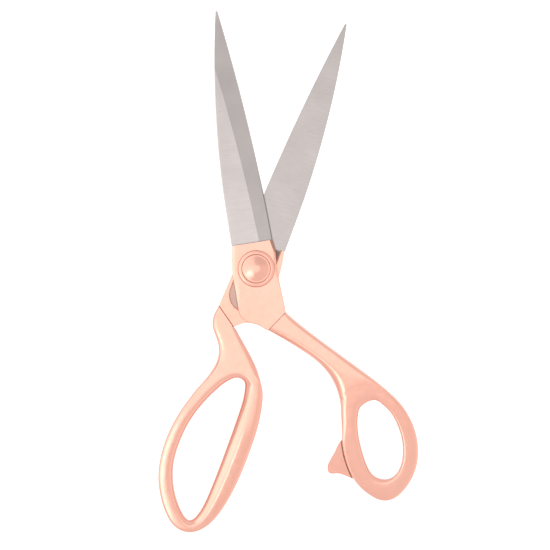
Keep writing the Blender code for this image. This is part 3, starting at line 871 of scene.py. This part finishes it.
def shank_row(bm, row, shank, profile, thinning_start):
    """Vertices across the top and the bottom of a shank, at one of its rows.

    The first rows change from the loop's spacing and heights to those of the profile, and the last
    ones to the heights at the seam.
    """
    even = max(0.0, 1.0 - row / 2)
    square = max(0.0, (row - len(shank) + 3) / 2)
    start_point, across = widened(*shank[row])
    top, bottom = [], []
    for c, (share, rise) in enumerate(profile):
        at_loop = (*JOINED_AT, JOINED_INTERVALS)[c] / JOINED_INTERVALS
        place = start_point + across * (share * (1 - even) + at_loop * even)
        if row == 0:
            bow = BOWED * math.sin(math.pi * at_loop)
            place += Vector((-across.y, across.x)).normalized() * bow
        rise = rise * (1 - even - square) + JOINED_RISE[c] * even + SEAM_RISE[c] * square
        height = handle_height(place.y, thinning_start) * rise
        top.append(bm.verts.new(Vector((place.x, place.y, height)) * MM))
        bottom.append(bm.verts.new(Vector((place.x, place.y, -height)) * MM))
    return top, bottom


def handle_cage(name, loop, limbs, shank, profile, turn, thinning_start, squareness):
    """A closed cage of quads: the loop, with the shank growing from its last three intervals."""
    columns = len(JOINED_AT)
    bm = bmesh.new()
    sections = loop_sections(bm, loop, limbs, turn, thinning_start, squareness)
    count, size = len(sections), len(sections[0])
    start = count - columns
    for i in range(count):
        first, second = sections[i], sections[(i + 1) % count]
        for j in range(size):
            if j == size - 1 and i >= start:
                continue
            k = (j + 1) % size
            bm.faces.new((first[j], second[j], second[k], first[k]))
    joined = [sections[(start + c) % count] for c in range(columns + 1)]
    top = [section[0] for section in joined]
    bottom = [section[-1] for section in joined]
    for row in range(len(shank)):
        new_top, new_bottom = shank_row(bm, row, shank, profile, thinning_start)
        for c in range(columns):
            bm.faces.new((top[c], top[c + 1], new_top[c + 1], new_top[c]))
            bm.faces.new((bottom[c], new_bottom[c], new_bottom[c + 1], bottom[c + 1]))
        bm.faces.new((top[0], new_top[0], new_bottom[0], bottom[0]))
        bm.faces.new((top[-1], bottom[-1], new_bottom[-1], new_top[-1]))
        top, bottom = new_top, new_bottom
    crease = bm.edges.layers.float.new("crease_edge")
    for c in range(columns):
        end = bm.faces.new((top[c], bottom[c], bottom[c + 1], top[c + 1]))
        for edge in end.edges:
            edge[crease] = 1.0
    return mesh_from(name, bm)


def bolster_rim(point):
    """Width, drop and curve of the slope round the top of a bolster."""
    at_shank, at_blade, power, change = LEFT_RIM if point.x < 0 else RIGHT_RIM
    share = blended(point.y, *change)
    width, drop = (a + (b - a) * share for a, b in zip(at_shank, at_blade))
    return width, drop, power


def bolster_plate():
    """The bolster, with its end at the blade cut off square."""
    chain = smooth_chain(BOLSTER, 6)
    chain = [Vector((-8.2, JOINT_Y + 4)), *chain, Vector((8.1, JOINT_Y + 4))]
    mesh = plate("bolster", chain, INNER_FACE, BOLSTER_TOP, bolster_rim)
    end = block("blade end", (40, 10, 20), (0, JOINT_Y + 5, 0))
    return carved(mesh, ("DIFFERENCE", end))


def seam_groove(end, height):
    """A fine groove on the bolster's side of the seam, from one end of the seam to the other."""
    left, right = Vector(end[0]), Vector(end[1])
    along = right - left
    middle = (left + right) / 2 + Vector((-along.y, along.x)).normalized() * SEAM_GROOVE / 2
    size = (along.length + 2, SEAM_GROOVE, 2 * SEAM_GROOVE)
    return block("seam", size, (middle.x, middle.y, height), math.atan2(along.y, along.x))


def casting(cage, shank, over, cutters):
    """A cast half, from its cage. The cutters are given in the frame of the half."""
    def placed(mesh):
        return turned_over(mesh) if over else mesh

    mesh = subdivided(cage, 3)
    pocket = plate("pocket", tang_outline(GAP, JOINT_Y + 5), -1.0, TANG_TOP + GAP)
    cut = merged(pocket, *pin_holes(TANG_PIN_TOP + GAP))
    seam = seam_groove(shank[-1], -INNER_FACE if over else BOLSTER_TOP)
    cut = merged(placed(cut), *cutters, seam)
    return carved(mesh, ("UNION", placed(bolster_plate())), ("DIFFERENCE", cut))


# -------- closing stop

# The middle of the spur's root, and from there the way into the loop, square to the joint line.
STOP_ROOT = (Vector(SPUR[0]) + Vector(SPUR[-1])) / 2
STOP_ROOT_TURN = math.atan2(SPUR[-1][0] - SPUR[0][0], SPUR[0][1] - SPUR[-1][1])
STOP_INWARD = Matrix.Rotation(STOP_ROOT_TURN, 2) @ Vector((1, 0))
STOP_PIN_AT = STOP_ROOT + STOP_INWARD * (TONGUE_LENGTH - STOP_PIN_FROM_END)


def spur_sweep(clearance, angles):
    """The outline that the spur needs at these angles, seen from the finger handle."""
    points = []
    for angle in angles:
        turn = Matrix.Rotation(math.radians(angle), 2)
        for corner in (*SPUR, SPUR_CORNER):
            points += [
                turn @ (Vector(corner) + Vector((math.cos(a), math.sin(a))) * clearance)
                for a in (math.radians(step) for step in range(0, 360, 30))
            ]
    return [points[i] for i in convex_hull_2d(points)]


def tongue(name, margin):
    middle = (TONGUE_LOW + TONGUE_HIGH) / 2
    length = TONGUE_LENGTH + TONGUE_INSET
    thickness = TONGUE_HIGH - TONGUE_LOW
    size = [side + 2 * margin for side in (length, TONGUE_WIDTH, thickness)]
    place = STOP_ROOT + STOP_INWARD * (TONGUE_LENGTH - TONGUE_INSET) / 2
    return block(name, size, (place.x, place.y, middle), STOP_ROOT_TURN)


def stop_pin_hole():
    radius, top = STOP_PIN_RADIUS + GAP, STOP_PIN_TOP + GAP
    return cylinder("stop pin hole", radius, -OUTSIDE, top, STOP_PIN_AT.x, STOP_PIN_AT.y)


def root_groove():
    """A groove in the spur's top that follows the outer edge of the thumb loop."""
    outer = [pair[0] for pair in THUMB_LOOP]
    count = int((ROOT_GROOVE_TO - ROOT_GROOVE_FROM) * ROOT_GROOVE_STEPS) + 1
    edge = [on_chain(outer, ROOT_GROOVE_FROM + i / ROOT_GROOVE_STEPS, True) for i in range(count)]
    low, high = ROOT_GROOVE_LOW, STOP_HIGH + 1
    bm = bmesh.new()
    rings = []
    for point, after in zip(edge, edge[1:]):
        outward = Vector((point.y - after.y, after.x - point.x)).normalized()
        near, far = point - outward * ROOT_GROOVE_IN, point + outward * ROOT_GROOVE_OUT
        corners = [(*near, low), (*far, low), (*far, high), (*near, high)]
        rings.append([bm.verts.new(Vector(corner) * MM) for corner in corners])
    for first, second in zip(rings, rings[1:]):
        for i in range(4):
            j = (i + 1) % 4
            bm.faces.new((first[i], first[j], second[j], second[i]))
    bm.faces.new(rings[0])
    bm.faces.new(rings[-1])
    return mesh_from("root groove", bm)


def closing_stop():
    """The spur, which slopes down away from its root, with its tongue."""
    outline = smooth_chain([*SPUR, SPUR_CORNER], 6)
    spur = plate("spur", outline, STOP_LOW, STOP_HIGH)
    for vertex in spur.vertices:
        if vertex.co.z > (STOP_LOW + 0.5) * MM:
            vertex.co.z -= SPUR_SLOPE * (SPUR[0][1] * MM - vertex.co.y)
    mesh = merged(spur, tongue("tongue", 0.0))
    mesh = carved(mesh, ("DIFFERENCE", stop_pin_hole()), ("DIFFERENCE", root_groove()))
    mesh = bevelled(mesh, SPUR_BEVEL)
    piece("closing_stop_spur", mesh, UPPER, STOP_FINISH, "upper_half", "rose_gold", "closing_stop")


def stop_pin():
    low, radius = STOP_LOW + GAP, STOP_PIN_RADIUS
    pin = [(0.0, STOP_PIN_TOP), (radius, STOP_PIN_TOP), (radius, low), (0.0, low)]
    pin = turned("stop pin", pin, 0.2, 40, STOP_PIN_AT.x, STOP_PIN_AT.y)
    piece("stop_cross_pin", pin, UPPER, FIXING_STEEL, "upper_half", "fixing_steel", "stop_pin")


# -------- pivot


def cup_washer():
    """The ring round the head, with a raised wall."""
    bore = NECK_CORNER + GAP
    inner = HEAD_RADIUS + 0.06
    profile = [
        (CUP_RADIUS, CUP_LOW + 0.5), (CUP_RADIUS, CUP_LOW), (bore, CUP_LOW), (bore, CUP_LOW + 0.2),
        (inner, CUP_LOW + 0.2), (inner, CUP_LOW + 1.1), (inner + 0.25, CUP_LOW + 1.2),
        (CUP_RADIUS - 0.35, CUP_LOW + 1.14), (CUP_RADIUS - 0.1, CUP_LOW + 0.97),
    ]
    cup = turned("cup", profile, 0.2)
    piece("pivot_cup_ring", cup, UPPER, CUP_FINISH, "upper_half", "rose_gold", "cup_washer")


def thread_profile():
    """The threaded end, with a groove for each turn of the thread."""
    low, high = -HANDLE_HALF, 0.5
    profile = [(0.0, high), (THREAD_RADIUS, high)]
    z = -TANG_TOP - 0.5
    while z - THREAD_PITCH > low + 0.3:
        profile += [(THREAD_RADIUS, z), (THREAD_RADIUS - THREAD_DEPTH, z - THREAD_PITCH / 2)]
        z -= THREAD_PITCH
    profile += [(THREAD_RADIUS, z), (THREAD_RADIUS, low + 0.25), (THREAD_RADIUS - 0.25, low), (0.0, low)]
    return profile


def pivot_screw():
    """The head, its square neck, the round shoulder and the thread."""
    top = [tuple(point) for point in smooth_chain([*HEAD_CROWN, *HEAD_RIM], 4)]
    profile = [(r, HEAD_LOW + z) for r, z in [*top, (HEAD_RADIUS, 0.0), (0.0, 0.0)]]
    head = turned("head", profile, 0.02)
    neck = block("neck", (NECK_ACROSS, NECK_ACROSS, HEAD_LOW), (0, 0, HEAD_LOW / 2 + 0.4))
    shoulder = cylinder("shoulder", SHOULDER_RADIUS, -TANG_TOP - 0.1, 1.0, segments=FINE)
    thread = turned("thread", thread_profile(), 0.02, 64)
    screw = merged(head, neck, shoulder, thread)
    piece("pivot_screw_body", screw, UPPER, HEAD_FINISH, "upper_half", "rose_gold", "pivot_screw")


def disc_spring():
    """A conical washer, higher at its bore."""
    bore = SHOULDER_RADIUS + GAP
    profile = [
        (SPRING_RADIUS, SPRING_TOP - SPRING_HEIGHT + SPRING_THICKNESS),
        (SPRING_RADIUS, SPRING_TOP - SPRING_HEIGHT),
        (bore, SPRING_TOP - SPRING_THICKNESS), (bore, SPRING_TOP),
    ]
    spring = turned("spring", profile, 0.08)
    piece("conical_spring", spring, UPPER, FIXING_STEEL, "upper_half", "fixing_steel", "disc_spring")


def flat_washer():
    bore = THREAD_RADIUS + GAP
    low = WASHER_TOP - WASHER_THICKNESS
    profile = [(WASHER_RADIUS, WASHER_TOP), (WASHER_RADIUS, low), (bore, low), (bore, WASHER_TOP)]
    washer = turned("washer", profile, 0.1)
    piece("tension_ring", washer, UPPER, FIXING_STEEL, "tension_washer", "fixing_steel", "flat_washer")


def pivot_nut():
    """A round nut with a slot at each side."""
    bore = THREAD_RADIUS + GAP
    profile = [
        (NUT_RADIUS, NUT_TOP), (NUT_RADIUS, NUT_LOW + 0.25), (NUT_RADIUS - 0.25, NUT_LOW),
        (bore + 0.2, NUT_LOW), (bore, NUT_LOW + 0.2), (bore, NUT_TOP),
    ]
    slots = []
    for side in (-1, 1):
        slots.append(block(f"slot {side}", NUT_SLOT, (side * (NUT_RADIUS - 0.2), 0, NUT_LOW)))
    nut = carved(turned("nut", profile, 0.12), *(("DIFFERENCE", slot) for slot in slots))
    piece("slotted_nut", nut, UPPER, HEAD_FINISH, "tension_nut", "rose_gold", "pivot_nut")


def pivot_bush():
    bore = SHOULDER_RADIUS + GAP
    low = -TANG_TOP + 0.1
    high = -INNER_FACE - 0.15
    profile = [(BUSH_RADIUS, high), (BUSH_RADIUS, low), (bore, low), (bore, high)]
    bush = turned("bush", profile, 0.1)
    piece("bearing_sleeve", bush, LOWER, BRASS, "lower_half", "bush_brass", "pivot_bush")


# -------- the shears

def square_bore():
    """The hole for the screw's neck."""
    across = NECK_ACROSS + 2 * GAP
    return block("square bore", (across, across, 12), (0, 0, 3))


def round_bore():
    """The hole for the bush."""
    return cylinder("round bore", BUSH_RADIUS + GAP, -9, 3, segments=FINE)


def thumb_handle():
    """The cast upper half, with a spot face and the closing stop's slot."""
    spot_face = cylinder("spot face", CUP_RADIUS + 0.1, SPOT_FACE_FLOOR, OUTSIDE, segments=FINE)
    flank = plate("flank", spur_sweep(GAP, (0,)), STOP_LOW - GAP, STOP_HIGH + GAP)
    cutters = (square_bore(), spot_face, tongue("slot", GAP), flank, stop_pin_hole())
    cage = handle_cage(
        "thumb", THUMB_LOOP, THUMB_LIMBS, THUMB_SHANK, THUMB_ACROSS, UPPER_TURN,
        THUMB_THINNING_START_Y, squarer_beside_stop,
    )
    mesh = casting(cage, THUMB_SHANK, False, cutters)
    piece(
        "thumb_casting", mesh, UPPER, CASTING_FINISH, "upper_half", "rose_gold", "thumb_handle",
        sharp=CASTING_SHARP,
    )


def finger_handle():
    """The cast lower half, with the nut's counterbore and the spur's relief."""
    counterbore = cylinder("counterbore", COUNTERBORE_RADIUS, -OUTSIDE, 1, segments=FINE)
    sweep = spur_sweep(SEAT_CLEARANCE, SEAT_ANGLES)
    seat = plate("stop seat", sweep, -HANDLE_HALF - 1, STOP_HIGH + 0.5)
    cage = handle_cage(
        "finger", FINGER_LOOP, FINGER_LIMBS, FINGER_SHANK, FINGER_ACROSS, LOWER_TURN,
        FINGER_THINNING_START_Y, even_edge,
    )
    mesh = casting(cage, FINGER_SHANK, True, (round_bore(), counterbore, seat))
    piece(
        "finger_casting", mesh, LOWER, CASTING_FINISH, "lower_half", "rose_gold", "finger_handle",
        sharp=CASTING_SHARP,
    )


def tang_pins():
    """The tang pins are out of sight and keep their CAD meshes, with a finish."""
    for node in frame["nodes"].values():
        if node.hide_render:
            continue
        node.data.materials.clear()
        node.data.materials.append(FIXING_STEEL)


blade("front_blade", UPPER, UPPER_STEEL, "upper_half", "upper_blade", False, square_bore())
blade("back_blade", LOWER, LOWER_STEEL, "lower_half", "lower_blade", True, round_bore())
thumb_handle()
finger_handle()
closing_stop()
stop_pin()
cup_washer()
pivot_screw()
disc_spring()
flat_washer()
pivot_nut()
pivot_bush()
tang_pins()

# -------- floor, light and camera

FLOOR_SIZE = 6.0
FLOOR_GLOW = 0.5

# Curves of the light, as stops of (place, height). The overhead panel's places are degrees from its
# middle, which leans in front of the zenith. The left side's are degrees round from the left and up
# from the horizon: a tall panel, and a paler part that joins it to the overhead one.
OVERHEAD_LEAN = 0.5
OVERHEAD = [(0, 0.52), (3, 0.52), (5.6, 0.28), (7.0, 0.06), (9.0, 0.0)]
PANEL_ROUND = [(-27, 0.0), (-10, 1.0), (40, 1.0), (60, 0.0)]
PANEL_UP = [(32, 0.0), (40, 0.8), (54, 0.8), (72, 0.5), (90, 0.5)]
JOINING_ROUND = [(-66, 0.0), (-38, 1.0), (60, 1.0), (90, 0.0)]
JOINING_UP = [(56, 0.0), (68, 0.5), (90, 0.5)]

# The small lamp, by degrees from its middle.
LAMP_DIRECTION = (-0.2106, -0.1645, 0.9636)
LAMP_GLOW = [(0, 0.95), (4.5, 0.95), (9.0, 0.0)]

# The rest is even, but brighter to the right, and dimmer just beyond the overhead panel's far side.
SURROUNDINGS = 0.93
TO_THE_RIGHT = 0.2
DIMMER_BEYOND = [(0.09, 0.0), (0.16, 0.13), (0.28, 0.11), (0.5, 0.0)]
SEEN_BY_CAMERA = 1.1

CAMERA_HEIGHT = 1.2
CAMERA_AT = (0.0084, -0.0028)
FRAMED_WIDTH = 0.2475


def floor():
    """A pale floor. The camera sees it a little brighter, so that only contact shadows show."""
    bm = bmesh.new()
    bmesh.ops.create_grid(bm, x_segments=8, y_segments=8, size=FLOOR_SIZE)
    item = bpy.data.objects.new("floor", mesh_from("floor", bm))
    bpy.context.scene.collection.objects.link(item)
    n = Nodes("pale_floor")
    n.set("Base Color", (0.50, 0.50, 0.50, 1))
    n.set("Roughness", 0.9)
    n.set("Emission Color", (1.0, 0.995, 0.99, 1))
    seen = n.add("ShaderNodeLightPath").outputs["Is Camera Ray"]
    n.set("Emission Strength", n.maths("ADD", n.maths("MULTIPLY", seen, FLOOR_GLOW), FLOOR_GLOW))
    item.data.materials.append(n.material)


def degrees_from(n, direction, sockets):
    """Degrees between a direction and the one that is looked in."""
    along = [n.maths("MULTIPLY", socket, share) for socket, share in zip(sockets, direction)]
    return n.maths("DEGREES", n.maths("ARCCOSINE", n.maths("ADD", n.maths("ADD", *along[:2]), along[2])))


def left_side(n, x, y, z):
    """The tall panel and the paler part above it."""
    round_left = n.maths("DEGREES", n.maths("ARCTAN2", y, n.maths("MULTIPLY", x, -1.0)))
    height = n.maths("DEGREES", n.maths("ARCSINE", z))
    panel = n.maths("MULTIPLY", n.curve(round_left, PANEL_ROUND), n.curve(height, PANEL_UP))
    joining = n.maths("MULTIPLY", n.curve(round_left, JOINING_ROUND), n.curve(height, JOINING_UP))
    return n.maths("MAXIMUM", panel, joining)


def world():
    """A soft studio: a panel overhead, a tall one at the left, a small lamp, and pale surroundings."""
    studio = bpy.data.worlds.new("studio")
    bpy.context.scene.world = studio
    studio.use_nodes = True
    n = Tree(studio.node_tree)
    split = n.add("ShaderNodeSeparateXYZ")
    n.link(n.add("ShaderNodeTexCoord").outputs["Generated"], split.inputs[0])
    x, y, z = split.outputs
    lean = math.radians(OVERHEAD_LEAN)
    overhead = n.curve(degrees_from(n, (0.0, math.sin(lean), math.cos(lean)), (x, y, z)), OVERHEAD)
    lamp = n.curve(degrees_from(n, LAMP_DIRECTION, (x, y, z)), LAMP_GLOW)
    panels = n.maths("MAXIMUM", overhead, left_side(n, x, y, z))
    even = n.maths("ADD", n.maths("MULTIPLY", n.maths("MAXIMUM", x, 0.0), TO_THE_RIGHT), SURROUNDINGS)
    even = n.maths("SUBTRACT", even, n.curve(y, DIMMER_BEYOND))
    total = n.maths("ADD", n.maths("ADD", even, panels), lamp)
    seen = n.add("ShaderNodeLightPath").outputs["Is Camera Ray"]
    total = n.maths("MULTIPLY", total, n.maths("SUBTRACT", 1.0, seen))
    total = n.maths("ADD", total, n.maths("MULTIPLY", seen, SEEN_BY_CAMERA))
    background = studio.node_tree.nodes["Background"]
    n.link(total, background.inputs["Strength"])
    background.inputs["Color"].default_value = (1.0, 1.0, 1.0, 1.0)


def camera():
    """Straight down, with the tips at the top of the picture."""
    data = bpy.data.cameras.new("camera")
    data.sensor_width = 36.0
    data.lens = data.sensor_width * CAMERA_HEIGHT / FRAMED_WIDTH
    data.clip_start = 0.05
    data.clip_end = 20.0
    item = bpy.data.objects.new("camera", data)
    item.location = (*CAMERA_AT, PIVOT.z + CAMERA_HEIGHT)
    bpy.context.scene.collection.objects.link(item)
    bpy.context.scene.camera = item


floor()
world()
camera()
view = bpy.context.scene.view_settings
view.view_transform = "Standard"
view.look = "None"
